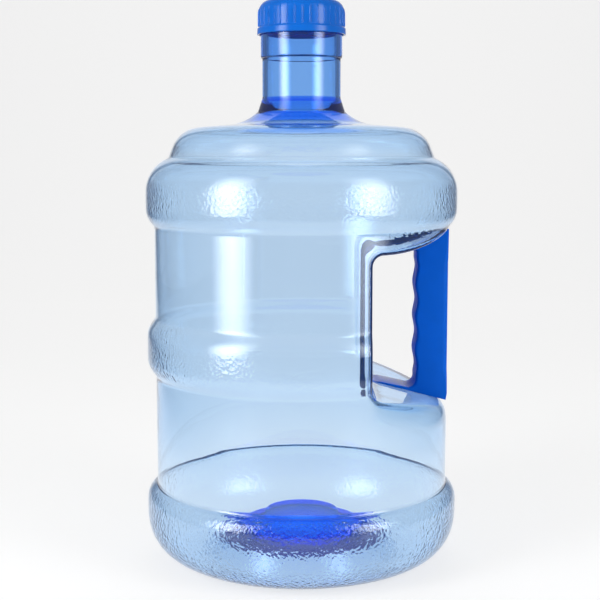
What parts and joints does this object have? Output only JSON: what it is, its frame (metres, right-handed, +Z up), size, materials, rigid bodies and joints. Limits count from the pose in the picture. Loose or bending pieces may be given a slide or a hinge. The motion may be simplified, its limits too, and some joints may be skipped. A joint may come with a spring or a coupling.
{
  "type": "large water jug",
  "caption": "Clear blow-moulded water jug with ribbed shoulder and waist bands, a carrying handle set in a side notch, and a threaded neck closed by a ribbed screw cap.",
  "frame": {"origin": "centre of the foot ring, on the surface that the jug stands on", "axes": "+Z up along the axis of the bottle and its neck; +X towards the handle and its notch; the hand gap runs through along Y"},
  "size_m": [0.218, 0.218, 0.3892],
  "materials": {
    "clear_blue_pet": "transparent, glossy, pebbled on the bands",
    "blue_handle_plastic": "satin moulded",
    "blue_cap_plastic": "glossy moulded",
    "white_foam_liner": "matt foam"
  },
  "bodies": {
    "bottle": {"bottle_body": "clear_blue_pet", "bottle_neck": "clear_blue_pet", "handle_frame": "blue_handle_plastic"},
    "liner": {"cap_liner": "white_foam_liner"},
    "cap": {"screw_cap": "blue_cap_plastic"}
  },
  "joints": [
    {"name": "cap_rise", "type": "slide", "parent": "bottle", "child": "liner", "axis": [0, 0, 1], "range_m": [0, 0.0241]},
    {"name": "cap_turn", "type": "hinge", "parent": "liner", "child": "cap", "pos_m": [0, 0, 0.375], "axis": [0, 0, 1], "range_deg": [0, 1440]}
  ],
  "couplings": [
    {"joint": "cap_rise", "follows": "cap_turn", "m_per_rad": 0.00095493}
  ]
}
